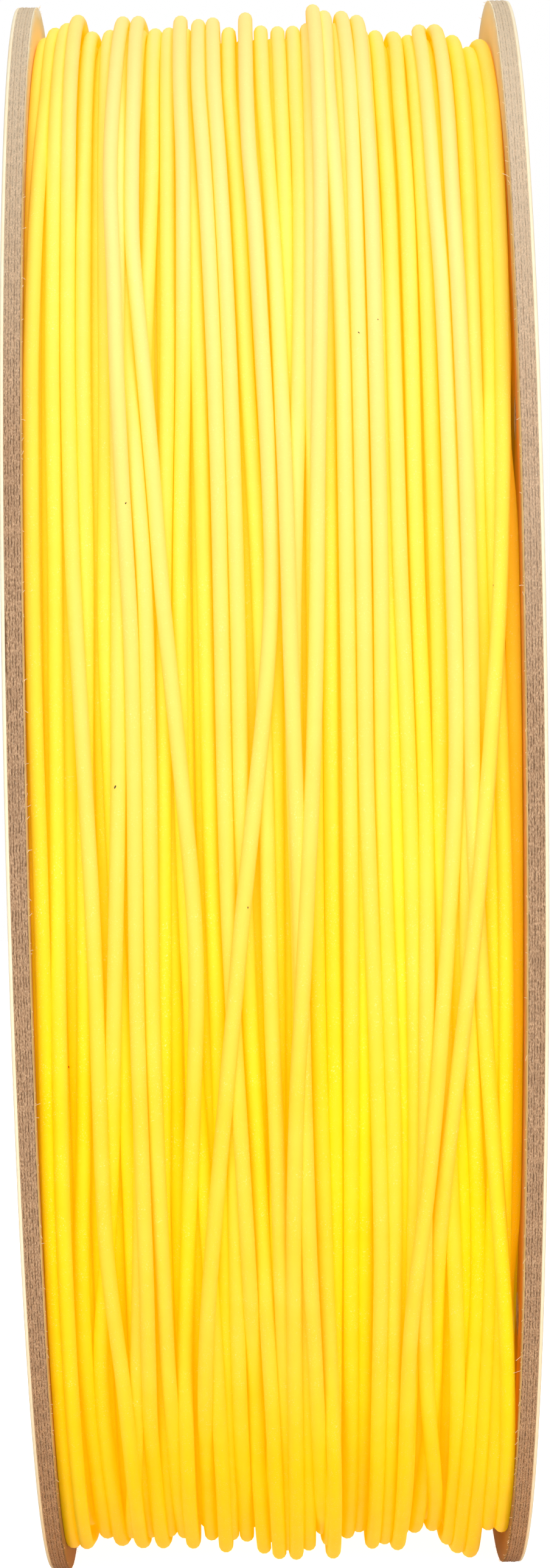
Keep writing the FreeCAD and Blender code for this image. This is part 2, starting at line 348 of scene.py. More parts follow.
def regular_layer(rng, count, left):
    """Lanes of a regular layer from left to right, with a little unevenness."""
    lanes = []
    for index in range(count):
        x = (left + index * LOWER_PITCH) / MM
        lanes.append(tuple(
            (angle, x + rng.normal(0, LOWER_UNEVENNESS)) for angle in REGULAR_ANGLES))
    return lanes


def turn_angles():
    """Angles of one turn's samples: up the front, over the top and down the back."""
    return -FRONT_END + np.arange(SAMPLES) * 360.0 / SAMPLES


def whole_turns(lanes, wander, rng, end_x):
    """The x of every sample of every turn. Each turn ends where the next one starts."""
    angles = turn_angles()
    back = angles > FRONT_END
    t = (angles[back] - FRONT_END) / (360.0 - 2 * FRONT_END)
    rows = []
    for index, lane in enumerate(lanes):
        front_angles, front_x = front_lane(lane)
        x = np.interp(angles, front_angles, front_x)
        if index + 1 < len(lanes):
            next_x = front_lane(lanes[index + 1])[1][0]
        else:
            next_x = end_x
        x[back] = front_x[-1] + (next_x - front_x[-1]) * smoothstep(t)
        waves = rng.uniform(0.8, 2.2)
        phase = rng.uniform(0, 2 * math.pi)
        x[back] += wander[index] * np.sin(math.pi * t) * np.sin(2 * math.pi * waves * t + phase)
        rows.append(x)
    flat = smoothed(np.concatenate(rows), X_SMOOTHING)
    return flat.reshape(len(lanes), SAMPLES)


def taut(angles, radii):
    """The line of a tight strand over the given heights: straight where nothing lifts it."""
    a = np.radians(angles)
    lifted = radii - TURN_R * a * a / 2
    hull = []
    for i in range(len(a)):
        while len(hull) > 1:
            o, p = hull[-2], hull[-1]
            rise = (lifted[p] - lifted[o]) * (a[i] - a[o])
            if rise > (lifted[i] - lifted[o]) * (a[p] - a[o]):
                break
            hull.pop()
        hull.append(i)
    return np.interp(a, a[hull], lifted[hull]) + TURN_R * a * a / 2


def floor_height(angles, x):
    """Radius of a turn that lies straight on the drum, with the humps under it."""
    r = np.full(len(x), DRUM_R + STRAND_R)
    for angle, middle, height in HUMPS:
        along = (angles - angle) / HUMP_ANGLE
        across = (x - middle * MM) / HUMP_WIDTH
        r += height * MM * np.exp(-0.5 * (along ** 2 + across ** 2))
    return r


def resting_height(angles, x, turns_x, turns_r):
    """Height at which a strand at x rests on the turns below it, or on the drum."""
    floor_r = floor_height(angles, x)
    if len(turns_x) == 0:
        return floor_r
    across = np.abs(turns_x - x) * SQUEEZE
    lift = np.sqrt(np.maximum(STRAND_DIA ** 2 - across ** 2, 0.0)) * BITE
    heights = np.where(across < STRAND_DIA, turns_r + lift, 0.0)
    return np.maximum(heights.max(axis=0), floor_r)


def heights_of(turns_x):
    """Radii of every sample, each turn laid taut on all the turns before it."""
    angles = turn_angles()
    look = SAMPLES // 8
    step = 360.0 / SAMPLES
    radii = np.zeros_like(turns_x)
    wide = -FRONT_END + np.arange(-look, SAMPLES + look) * step
    for k in range(len(turns_x)):
        here = resting_height(angles, turns_x[k], turns_x[:k], radii[:k])
        before = radii[k - 1][-look:] if k else np.full(look, here[0])
        after_x = turns_x[min(k + 1, len(turns_x) - 1)][:look]
        after = resting_height(angles[:look], after_x, turns_x[:k, :look], radii[:k, :look])
        line = taut(wide, np.concatenate([before, here, after]))
        radii[k] = line[look:look + SAMPLES]
        over = np.maximum(radii[k] - (TALLEST_R - FLATTENING), 0.0)
        radii[k] -= over - FLATTENING * np.tanh(over / FLATTENING)
    return smoothed(radii.ravel(), HEIGHT_SMOOTHING).reshape(radii.shape)


def flare_at(x, r, z):
    """How much further out the leaning flanges and the turns between them are, at x."""
    share = smoothstep((np.asarray(r) - FLARE_START_R) / (FLARE_FULL_R - FLARE_START_R))
    return FLARE * z * np.asarray(x) / FLARE_HALF_WIDTH * share


def free_end_points(x, start_angle):
    """From the last turn down beside the winding, and out through its hole."""
    hole_angle = HOLE_FIRST_ANGLE + FREE_END_HOLE * 360.0 / HOLE_COUNT
    offset = TURN_R - FREE_END_DIVE_RADIUS
    cosine = (HOLE_CIRCLE_R ** 2 - offset ** 2 - FREE_END_DIVE_RADIUS ** 2) / (
        2 * offset * FREE_END_DIVE_RADIUS)
    turned = math.degrees(math.acos(cosine))
    covered = math.degrees(math.atan2(
        FREE_END_DIVE_RADIUS * math.sin(math.radians(turned)),
        offset + FREE_END_DIVE_RADIUS * cosine))
    kink = STRAND_DIA
    dive_angle = hole_angle - covered - math.degrees(kink / HOLE_CIRCLE_R)
    points = []
    for i in range(1, LEAD_STEPS + 1):
        points.append(at(x, TURN_R, start_angle + (dive_angle - start_angle) * i / LEAD_STEPS))
    centre = at(x, offset, dive_angle)
    for i in range(1, DIVE_STEPS + 1):
        angle = dive_angle + turned * i / DIVE_STEPS
        points.append(centre + at(0, FREE_END_DIVE_RADIUS, angle))
    travel = at(0, 1, dive_angle + turned + 90)
    bottom = points[-1]
    for i in range(1, KINK_STEPS + 1):
        a = math.pi / 2 * i / KINK_STEPS
        sideways = Vector((kink * (1 - math.cos(a)), 0, 0))
        points.append(bottom + travel * kink * math.sin(a) + sideways)
    tip = points[-1].copy()
    tip.x = FREE_END_TIP_X
    points.append(tip)
    return points


def add_tube(vertices, faces, points, radius, sides):
    """Adds a round tube along the points, closed by a flat face at each end."""
    p = np.array([tuple(q) for q in points])
    tangent = np.gradient(p, axis=0)
    tangent /= np.linalg.norm(tangent, axis=1)[:, None]
    across = np.array([1.0, 0.0, 0.0])
    rows = []
    for i in range(len(p)):
        across = across - tangent[i] * across.dot(tangent[i])
        across = across / np.linalg.norm(across)
        other = np.cross(tangent[i], across)
        turn = 2 * math.pi * np.arange(sides) / sides
        ring = np.outer(np.cos(turn), across) + np.outer(np.sin(turn), other)
        rows.append(p[i] + radius * ring)
    first = len(vertices)
    vertices += np.concatenate(rows).tolist()
    for i in range(len(p) - 1):
        a, b = first + i * sides, first + (i + 1) * sides
        for j in range(sides):
            n = (j + 1) % sides
            faces.append((a + j, a + n, b + n, b + j))
    last = first + (len(p) - 1) * sides
    faces.append(tuple(range(first + sides - 1, first - 1, -1)))
    faces.append(tuple(range(last, last + sides)))


def tube_mesh(name, points, sides):
    vertices, faces = [], []
    add_tube(vertices, faces, points, STRAND_R, sides)
    return mesh_object(name, vertices, faces)


def mesh_object(name, vertices, faces):
    mesh = bpy.data.meshes.new(name)
    mesh.from_pydata([tuple(v) for v in vertices], [], faces)
    mesh.validate()
    mesh.update()
    return smooth_object(mesh)


def smooth_object(mesh):
    """The mesh shaded smooth, as an object of the same name."""
    for polygon in mesh.polygons:
        polygon.use_smooth = True
    obj = bpy.data.objects.new(mesh.name, mesh)
    bpy.context.scene.collection.objects.link(obj)
    return obj


def winding():
    """The strand as one length, in four pieces: two regular layers, middle turns, upper turns."""
    rng = np.random.default_rng(7)
    lanes = regular_layer(rng, LOWER_COUNT, LOWER_LEFT) + [DEEP_LANE]
    first = len(lanes)
    lanes += regular_layer(rng, SECOND_COUNT, SECOND_LEFT)[::-1]
    lower = len(lanes)
    lanes += list(MIDDLE_LANES)
    middle = len(lanes)
    lanes += list(UPPER_LANES) + list(LAST_LANES)
    wander = [LOWER_WANDER] * lower + [MIDDLE_WANDER] * (middle - lower)
    wander += [UPPER_WANDER] * (len(lanes) - middle)
    turns_x = whole_turns(lanes, wander, rng, FREE_END_X)
    radii = heights_of(turns_x)
    angles = turn_angles()
    points = []
    for x_row, r_row in zip(turns_x, radii):
        for x, r, angle in zip(x_row, r_row, angles):
            z = r * math.sin(math.radians(angle))
            points.append(at(x + float(flare_at(x, r, z)), r, angle))

    # The last turn leaves for its hole before it comes round
    last_start = (len(lanes) - 1) * SAMPLES
    cut = last_start + int((FREE_END_ANGLE + FRONT_END) / 360.0 * SAMPLES)
    start = last_start + int(2 * FRONT_END / 360.0 * SAMPLES)
    for i in range(start, cut):
        t = float(smoothstep((i - start) / (cut - start)))
        top = points[start]
        r = radii.ravel()[i] * (1 - t) + TURN_R * t
        x = top.x + (FREE_END_X - top.x) * t
        points[i] = at(x, r, angles[i - last_start])
    points = points[:cut] + free_end_points(FREE_END_X, FREE_END_ANGLE)

    # Pieces are divided at the back of the reel
    back = int((180.0 + FRONT_END) / 360.0 * SAMPLES)
    cuts = [0]
    cuts += [count * SAMPLES - SAMPLES + back for count in (first, lower, middle)]
    cuts.append(len(points) - 1)
    pieces = []
    for (name, sides), start, end in zip(PIECES, cuts, cuts[1:]):
        pieces.append(tube_mesh(name, points[start:end + 1], sides))
    return pieces, radii, turns_x


def specks(radii, turns_x):
    """Small dark flakes that stuck to the strand."""
    rng = np.random.default_rng(5)
    mesh = bmesh.new()
    for x, angle, length in SPECKS:
        x *= MM
        sample = int(round((angle + FRONT_END) / 360.0 * SAMPLES))
        off = turns_x[:, sample] - x
        cover = radii[:, sample] + np.sqrt(np.maximum(STRAND_R ** 2 - off ** 2, 0))
        top = np.where(np.abs(off) < STRAND_R, cover, 0).argmax()
        r = radii[top, sample] + math.sqrt(STRAND_R ** 2 - off[top] ** 2)
        z = r * math.sin(math.radians(angle))
        made = bmesh.ops.create_icosphere(mesh, subdivisions=2, radius=1.0)["verts"]
        up = at(0, 1, angle)
        lean = rng.uniform(-0.7, 0.7)
        along = at(0, 1, angle + 90) * math.cos(lean) + Vector((math.sin(lean), 0, 0))
        side = along.cross(up)
        size = length * MM / 2
        for v in made:
            rough = 1 + 0.35 * noise.noise(v.co * 2.1 + Vector((angle, 0, 0)))
            p = v.co * rough
            place = at(x + float(flare_at(x, r, z)), r, angle)
            flat = side * p.y * size * FLAKE_WIDTH + up * p.z * size * FLAKE_HEIGHT
            v.co = place + along * p.x * size + flat
    data = bpy.data.meshes.new("strand_specks")
    mesh.to_mesh(data)
    mesh.free()
    return smooth_object(data)


def drum():
    """Inner layers of the strand as one ribbed ring round the core tube."""
    low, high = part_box("strand_inner_layers")
    tube_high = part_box("core_tube")[1]
    inner_r = tube_high.z + DRUM_CLEAR
    ribs = int((high.x - low.x) / LOWER_PITCH)
    profile = [(low.x, inner_r), (low.x, DRUM_R - STRAND_R)]
    for rib in range(ribs):
        for step in range(RIB_STEPS):
            t = (step + 0.5) / RIB_STEPS
            x = low.x + (rib + t) * (high.x - low.x) / ribs
            profile.append((x, DRUM_R - STRAND_R + STRAND_R * math.sin(math.pi * t)))
    profile += [(high.x, DRUM_R - STRAND_R), (high.x, SIDE_GAP_R)]
    gap_end = tube_high.x - DRUM_CLEAR
    profile += [(gap_end, SIDE_GAP_R), (gap_end, inner_r)]
    vertices = [at(x, r, 360.0 * i / DRUM_STEPS) for i in range(DRUM_STEPS) for x, r in profile]
    n = len(profile)
    faces = []
    for i in range(DRUM_STEPS):
        for j in range(n):
            a, b = i * n, (i + 1) % DRUM_STEPS * n
            k = (j + 1) % n
            faces.append((a + j, b + j, b + k, a + k))
    return mesh_object("strand_drum", vertices, faces)


# Flanges


def hole_centres():
    angles = [HOLE_FIRST_ANGLE + i * 360.0 / HOLE_COUNT for i in range(HOLE_COUNT)]
    return [at(0, HOLE_CIRCLE_R, angle) for angle in angles]


def flange_outline(rim_r):
    """Flat points of a flange layer and the loops that bound it, as (y, z)."""
    points = []
    loops = []
    holes = hole_centres()
    edges = [(Vector((0, 0, 0)), rim_r, RIM_SAMPLES), (Vector((0, 0, 0)), BORE_R, BORE_SAMPLES)]
    edges += [(centre, HOLE_R, HOLE_SAMPLES) for centre in holes]
    for centre, r, count in edges:
        first = len(points)
        for i in range(count):
            p = at(0, r, 360.0 * i / count)
            points.append(Vector((centre.y + p.y, centre.z + p.z)))
        loops.append(list(range(first, first + count)))
    for r, count in INNER_RINGS:
        for i in range(count):
            p = at(0, r * MM, 360.0 * (i + 0.5) / count)
            if all((p - centre).length > HOLE_R + HOLE_MARGIN for centre in holes):
                points.append(Vector((p.y, p.z)))
    return points, loops


def flange_layer_mesh(name, x_low, x_high, rim_r, outline, triangles, profile, relief):
    """One layer of a flange: two faces, walls at the bore and holes, and a worked rim.

    The profile goes across the rim, as (share of the thickness, depth below the rim). Its
    first and last depths are those of the two faces' edges.
    """
    points, loops = outline
    count = len(points)
    vertices = []
    for x, edge in ((x_low, profile[0][1]), (x_high, profile[-1][1])):
        rim_share = 1 - edge / rim_r
        for i, p in enumerate(points):
            share = rim_share if i < len(loops[0]) else 1.0
            vertices.append(Vector((x, p.x * share, p.y * share)))
    faces = [tuple(t) for t in triangles]
    faces += [(c + count, b + count, a + count) for a, b, c in triangles]
    for indices in loops[1:]:
        n = len(indices)
        for i in range(n):
            a, b = indices[i], indices[(i + 1) % n]
            faces.append((a, b, b + count, a + count))
    rim = loops[0]
    n = len(rim)
    rows = [rim]
    for share, depth in profile[1:-1]:
        first = len(vertices)
        x = x_low + (x_high - x_low) * share
        for i in range(n):
            angle = 360.0 * i / n
            vertices.append(at(x, rim_r - depth + relief(angle, x), angle))
        rows.append(list(range(first, first + n)))
    rows.append([i + count for i in rim])
    for low_row, high_row in zip(rows, rows[1:]):
        for i in range(n):
            k = (i + 1) % n
            faces.append((low_row[i], low_row[k], high_row[k], high_row[i]))
    for v in vertices:
        v.x += float(flare_at(v.x, math.hypot(v.y, v.z), v.z))
    return mesh_object(name, vertices, faces)


def rim_relief(seed, rough, crack_x=None):
    """Fibrous unevenness of a cut rim, as a height for an angle and a place across it."""
    def height(angle, x):
        a = math.radians(angle)
        place = Vector((math.cos(a) * 100, math.sin(a) * 100, seed))
        coarse = noise.noise(place * 1.2 + Vector((0, 0, x / MM * 1.5)))
        fine = noise.noise(place * 3.5 + Vector((0, 0, x / MM * 5.0)))
        raised = rough * (0.6 * coarse + 0.4 * fine)
        if crack_x is not None:
            along = 1 - abs(angle - CRACK_ANGLE) / CRACK_HALF_ANGLE
            across = 1 - abs(x - crack_x) / CRACK_WIDTH
            raised -= CRACK_DEPTH * min(1.0, 2.5 * max(0.0, along)) * max(0.0, across)
        return raised
    return height


def add_rim_uv(obj):
    """A map in metres: length along the rim, and place across it."""
    layer = obj.data.uv_layers.new(name="rim")
    mesh = obj.data
    for polygon in mesh.polygons:
        angles = []
        for loop in polygon.loop_indices:
            v = mesh.vertices[mesh.loops[loop].vertex_index].co
            angles.append(math.atan2(v.z, -v.y))
        wrap = max(angles) - min(angles) > math.pi
        for loop, angle in zip(polygon.loop_indices, angles):
            v = mesh.vertices[mesh.loops[loop].vertex_index].co
            if wrap and angle < 0:
                angle += 2 * math.pi
            lean = float(flare_at(1.0, math.hypot(v.y, v.z), v.z))
            layer.data[loop].uv = (angle * RIM_MAP_R, v.x / (1 + lean))


def flanges():
    """Both flanges, each of five layers, with the names that they replace."""
    pieces = {}
    rim_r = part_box("left_middle_sheet")[1].z
    points, loops = flange_outline(rim_r)
    edges = []
    for indices in loops:
        edges += [(indices[i], indices[(i + 1) % len(indices)]) for i in range(len(indices))]
    all_triangles, tolerance = 0, 1e-7
    result = geometry.delaunay_2d_cdt(points, edges, [], all_triangles, tolerance)
    flat, triangles = result[0], result[2]
    holes = hole_centres()
    kept = []
    for t in triangles:
        c = sum((flat[i] for i in t), Vector((0, 0))) / 3
        middle = Vector((0, c.x, c.y))
        in_hole = any((middle - centre).length < HOLE_R * 0.999 for centre in holes)
        if c.length > BORE_R and not in_hole:
            kept.append(tuple(t))
    if len(flat) != len(points):
        raise ValueError("the triangulation added points: %d for %d" % (len(flat), len(points)))
    outline = (list(flat), loops)
    for number, (side, sign) in enumerate(SIDES):
        for place, (layer, (rough, profile)) in enumerate(RIM_LAYERS.items()):
            node = "%s_%s" % (side, layer)
            low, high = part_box(node)
            across = sorted((low.x * sign, high.x * sign))
            if layer == "outer_facing":
                across[0] -= FACING_OVER
            if layer == "outer_sheet":
                across[1] -= FACING_OVER
            inner_x, outer_x = across[0] * sign, across[1] * sign
            rows = [(share, depth * MM) for share, depth in profile]
            if sign > 0:
                rows = [(1 - share, depth) for share, depth in reversed(rows)]
            crack_x = outer_x if node == CRACKED else None
            relief = rim_relief(17 * (5 * number + place), rough * MM, crack_x)
            obj = flange_layer_mesh(
                node + "_board", min(inner_x, outer_x), max(inner_x, outer_x), rim_r, outline,
                kept, rows, relief)
            add_rim_uv(obj)
            pieces[node] = obj
    return pieces


def hair_points(rng, side_sign, x, r, angle, length):
    """A paper fibre that leaves the rim towards the winding, and curls."""
    start = at(x, r, angle)
    along = at(0, 1, angle + 90)
    out = at(0, 1, angle)
    heading = Vector((-side_sign, 0, 0)) * rng.uniform(0.2, 1.0)
    heading += along * rng.uniform(-0.9, 0.9) + out * rng.uniform(0.1, 0.8)
    heading.normalize()
    curl = (along * rng.uniform(-1, 1) + out * rng.uniform(-1, 0.3)) * rng.uniform(0.3, 1.3)
    points = [start]
    for _ in range(HAIR_STEPS):
        points.append(points[-1] + heading * length / HAIR_STEPS)
        heading = (heading + curl / HAIR_STEPS).normalized()
    return points


def liner_hairs():
    """Loose fibres along the inner facing papers' cut edges, one piece for each flange."""
    rng = np.random.default_rng(31)
    pieces = []
    for side, sign in SIDES:
        low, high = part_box(side + "_inner_facing")
        x = high.x if sign < 0 else low.x
        rim_r = high.z
        hairs = [(rng.uniform(0, 360), 0.12 + 0.5 * rng.random() ** 3) for _ in range(HAIR_COUNT)]
        hairs += [(angle, length) for where, angle, length in LONG_HAIRS if where == side]
        vertices, faces = [], []
        for angle, length in hairs:
            r = rim_r - rng.uniform(0.02, 0.12) * MM
            points = hair_points(rng, sign, x + sign * 0.03 * MM, r, angle, length * MM)
            add_tube(vertices, faces, points, HAIR_R, HAIR_SIDES)
        for v in vertices:
            v[0] += float(flare_at(v[0], math.hypot(v[1], v[2]), v[2]))
        pieces.append(mesh_object(side + "_liner_hairs", vertices, faces))
    return pieces


# Materials


class Look:
    """A new material, with short ways to add the usual nodes to it. Wherever a node takes
    a value, another node's output may be given instead."""

    # A Mix node's sockets for colours
    FIRST, SECOND, MIXED = 6, 7, 2

    def __init__(self, name, roughness, specular=0.5):
        self.material = bpy.data.materials.new(name)
        self.material.use_nodes = True
        self.nodes = self.material.node_tree.nodes
        self.shader = self.nodes["Principled BSDF"]
        self.shader.inputs["Roughness"].default_value = roughness
        self.shader.inputs["Specular IOR Level"].default_value = specular

    def put(self, value, socket):
        if isinstance(value, bpy.types.NodeSocket):
            self.material.node_tree.links.new(value, socket)
        elif isinstance(value, tuple):
            socket.default_value = (*value, 1)
        else:
            socket.default_value = value

    def place(self):
        """Where the point is in the reel's frame, in metres."""
        return self.nodes.new("ShaderNodeTexCoord").outputs["Object"]

    def parts(self, vector):
        node = self.nodes.new("ShaderNodeSeparateXYZ")
        self.put(vector, node.inputs["Vector"])
        return tuple(node.outputs)

    def joined(self, *values):
        node = self.nodes.new("ShaderNodeCombineXYZ")
        for value, socket in zip(values, node.inputs):
            self.put(value, socket)
        return node.outputs["Vector"]

    def maths(self, operation, a, b=0.0):
        node = self.nodes.new("ShaderNodeMath")
        node.operation = operation
        self.put(a, node.inputs[0])
        self.put(b, node.inputs[1])
        return node.outputs[0]

    def product(self, first, *others):
        for other in others:
            first = self.maths("MULTIPLY", first, other)
        return first

    def ramp(self, source, low, high):
        """0 at low and beyond it, 1 at high and beyond it."""
        node = self.nodes.new("ShaderNodeMapRange")
        self.put(source, node.inputs["Value"])
        self.put(low, node.inputs["From Min"])
        self.put(high, node.inputs["From Max"])
        return node.outputs["Result"]

    def noise(self, vector, scale, detail=2.0, rough=0.5):
        node = self.nodes.new("ShaderNodeTexNoise")
        self.put(vector, node.inputs["Vector"])
        self.put(scale, node.inputs["Scale"])
        self.put(detail, node.inputs["Detail"])
        self.put(rough, node.inputs["Roughness"])
        return node.outputs["Fac"]

    def mix(self, share, a, b):
        """Colour a, with this share of colour b."""
        node = self.nodes.new("ShaderNodeMix")
        node.data_type = "RGBA"
        self.put(share, node.inputs["Factor"])
        self.put(a, node.inputs[self.FIRST])
        self.put(b, node.inputs[self.SECOND])
        return node.outputs[self.MIXED]

    def finish(self, colour, height=None, distance=0.0, strength=1.0):
        """The material, with its colour and with a bump where there is a height."""
        self.put(colour, self.shader.inputs["Base Color"])
        if height is not None:
            node = self.nodes.new("ShaderNodeBump")
            self.put(distance, node.inputs["Distance"])
            self.put(strength, node.inputs["Strength"])
            self.put(height, node.inputs["Height"])
            self.put(node.outputs["Normal"], self.shader.inputs["Normal"])
        return self.material


def strand_material():
    """Matte yellow plastic with pale grains. Painted shade makes it golden down in the winding,
    beside the flanges and at the bottom; painted light makes its outer turns paler, more so on
    the upper side."""
    look = Look("strand_plastic", 0.6, 0.15)
    place = look.place()
    x, y, z = look.parts(place)
    length = look.nodes.new("ShaderNodeVectorMath")
    length.operation = "LENGTH"
    look.put(look.joined(0.0, y, z), length.inputs[0])
    # Painted light and shade: outer turns away from the flanges and the bottom take the paler lit
    # colour, the rest the golden shaded colour
    outer = look.product(
        look.ramp(length.outputs["Value"], 95.7 * MM, 97.7 * MM),
        look.ramp(look.maths("ABSOLUTE", x), 26 * MM, 21.5 * MM),
        look.ramp(z, -82 * MM, -64 * MM))
    tone = look.ramp(look.noise(place, 120.0, 3.0), 0.3, 0.7)
    painted_shade_colour = look.mix(tone, (0.99, 0.67, 0.003), (1.0, 0.71, 0.008))
    painted_lit_colour = look.mix(tone, (0.99, 0.62, 0.045), (1.0, 0.66, 0.07))
    colour = look.mix(outer, painted_shade_colour, painted_lit_colour)
    # Painted light: the strand grows paler towards the top, most on its outer turns
    upper = look.ramp(z, -35 * MM, 65 * MM)
    painted_top_paleness = look.product(look.ramp(outer, -0.7, 1.0), upper, 0.68)
    colour = look.mix(painted_top_paleness, colour, (1.0, 0.79, 0.37))
    cluster = look.ramp(look.noise(place, 420.0), 0.40, 0.66)
    grain = look.ramp(look.noise(place, 5200.0, 2.0, 0.6), 0.60, 0.72)
    colour = look.mix(look.product(grain, cluster, 0.7), colour, (1.0, 0.90, 0.42))

    # Stands for the light that the plastic lets through from turn to turn
    look.put((1.0, 0.78, 0.0), look.shader.inputs["Emission Color"])
    look.put(0.16, look.shader.inputs["Emission Strength"])
    return look.finish(colour, look.noise(place, 3800.0, 3.0, 0.6), 0.04 * MM, 0.7)


def board_material():
    """Cut edge of recycled board: grains, pale flecks and broken dark lines between plies."""
    look = Look("grey_board", 0.9, 0.2)
    uv = look.nodes.new("ShaderNodeUVMap")
    uv.uv_map = "rim"
    rim = uv.outputs["UV"]
    along, across, _ = look.parts(rim)
    grain = look.noise(look.joined(look.product(along, 0.42), across), 7600.0, 3.0, 0.62)
    colour = look.mix(look.ramp(grain, 0.36, 0.64), (0.31, 0.174, 0.092), (0.715, 0.46, 0.275))
    shade = look.product(look.ramp(look.noise(rim, 420.0, 3.0), 0.62, 0.38), 0.30)
    colour = look.mix(shade, colour, (0.30, 0.17, 0.092))

    # Joints between the plies: thin, wavering and broken
    waver = look.product(look.maths("SUBTRACT", look.noise(rim, 900.0), 0.5), 0.9)
    ply = look.maths("ADD", look.maths("DIVIDE", across, PLY_THICK), waver)
    off = look.maths("ABSOLUTE", look.maths("SUBTRACT", look.maths("FRACT", ply), 0.5))
    index = look.product(look.maths("FLOOR", ply), 0.37)
    shown = look.ramp(look.noise(look.joined(along, index), 800.0, 2.0, 0.6), 0.46, 0.54)
    joint = look.product(look.ramp(off, 0.17, 0.07), shown, 0.8)
    colour = look.mix(joint, colour, (0.11, 0.055, 0.025))

    # Painted light: a stretch of the right rim's upper front is paler, where light falls on it
    painted_light_patch = look.product(
        look.ramp(along, 8 * MM, 30 * MM), look.ramp(along, 125 * MM, 100 * MM),
        look.ramp(across, 0.0, 1 * MM), 0.2)
    colour = look.mix(painted_light_patch, colour, (1.0, 0.80, 0.59))
    fleck = look.ramp(look.noise(rim, 6200.0), 0.68, 0.76)
    colour = look.mix(fleck, colour, (1.0, 0.88, 0.66))

    # Painted light: both rims are paler towards the top
    _, _, z = look.parts(look.place())
    painted_top_light = look.product(look.ramp(z, 40 * MM, 105 * MM), 0.62)
    colour = look.mix(painted_top_light, colour, (1.0, 0.86, 0.62))
    height = look.maths("SUBTRACT", grain, look.product(joint, 0.6))
    return look.finish(colour, height, 0.12 * MM, 0.8)


def paper_material(name, dull, clear, fleck, painted_light_and_shade=0.0):
    """Uncoated paper: a cloudy tone between two colours, with fibres of a third. It may have
    painted light towards the top, a cream tint, and then painted shade at the bottom, a browner
    tint."""
    look = Look(name, 0.85, 0.25)
    place = look.place()
    fibre = look.noise(place, 2600.0, 4.0, 0.7)
    colour = look.mix(look.ramp(look.noise(place, 140.0, 4.0), 0.3, 0.7), dull, clear)
    colour = look.mix(look.ramp(fibre, 0.62, 0.78), colour, fleck)
    _, _, z = look.parts(place)
    # Painted light: paler towards the top; painted shade: browner at the bottom
    painted_top_light = look.product(look.ramp(z, 70 * MM, 97 * MM), painted_light_and_shade)
    colour = look.mix(painted_top_light, colour, (1.0, 0.91, 0.69))
    painted_bottom_shade = look.product(look.ramp(z, -76 * MM, -90 * MM), painted_light_and_shade)
    colour = look.mix(painted_bottom_shade, colour, (0.28, 0.155, 0.05))
    return look.finish(colour, fibre, 0.05 * MM, 0.5)


def wavering(name, roughness, noise_values, dark, pale):
    """A look, the noise that it follows, and its colour between dark and pale."""
    look = Look(name, roughness)
    fibre = look.noise(look.place(), *noise_values)
    return look, fibre, look.mix(look.ramp(fibre, 0.3, 0.7), dark, pale)


def speck_material():
    look, _, colour = wavering(
        "dark_flake", 0.8, (6000.0,), (0.03, 0.02, 0.01), (0.12, 0.07, 0.02))
    return look.finish(colour)


def tube_material():
    """Spiral-wound kraft tube, with the seam of its outer strip."""
    look, fibre, colour = wavering(
        "tube_board", 0.85, (1800.0, 4.0, 0.7), (0.42, 0.28, 0.16), (0.60, 0.43, 0.27))
    wave = look.nodes.new("ShaderNodeTexWave")
    wave.bands_direction = "X"
    look.put(look.place(), wave.inputs["Vector"])
    look.put(6.0, wave.inputs["Scale"])
    look.put(1.5, wave.inputs["Distortion"])
    seam = look.ramp(wave.outputs["Fac"], 0.96, 0.99)
    colour = look.mix(seam, colour, (0.26, 0.16, 0.09))
    return look.finish(colour, fibre, 0.06 * MM, 0.6)


def glue_material():
    look, cloud, colour = wavering(
        "hot_melt_glue", 0.35, (500.0,), (0.80, 0.66, 0.38), (0.86, 0.76, 0.52))
    return look.finish(colour, cloud, 0.2 * MM, 0.5)


def cut_board_material():
    """Board of the locating rings, which have no rim map."""
    look, fibre, colour = wavering(
        "ring_board", 0.92, (2400.0, 4.0, 0.7), (0.24, 0.16, 0.11), (0.46, 0.33, 0.24))
    return look.finish(colour, fibre, 0.1 * MM, 0.8)


def dress(obj, material):
    obj.data.materials.clear()
    obj.data.materials.append(material)


# Studio


def level_where_seen(tree, unseen, seen):
    """A level for rays from the camera and for mirror and glass rays, and one for others."""
    path = tree.nodes.new("ShaderNodeLightPath")
    total = path.outputs["Is Camera Ray"]
    for name in ("Is Glossy Ray", "Is Transmission Ray"):
        higher = tree.nodes.new("ShaderNodeMath")
        higher.operation = "MAXIMUM"
        tree.links.new(total, higher.inputs[0])
        tree.links.new(path.outputs[name], higher.inputs[1])
        total = higher.outputs[0]
    level = tree.nodes.new("ShaderNodeMapRange")
    tree.links.new(total, level.inputs["Value"])
    level.inputs["To Min"].default_value = unseen
    level.inputs["To Max"].default_value = seen
    return level.outputs["Result"]


def world_light():
    world = bpy.data.worlds.new("studio")
    bpy.context.scene.world = world
    world.use_nodes = True
    tree = world.node_tree
    background = tree.nodes["Background"]
    background.inputs["Color"].default_value = (1, 1, 1, 1)
    level = level_where_seen(tree, WORLD_STRENGTH, 1.0)
    tree.links.new(level, background.inputs["Strength"])


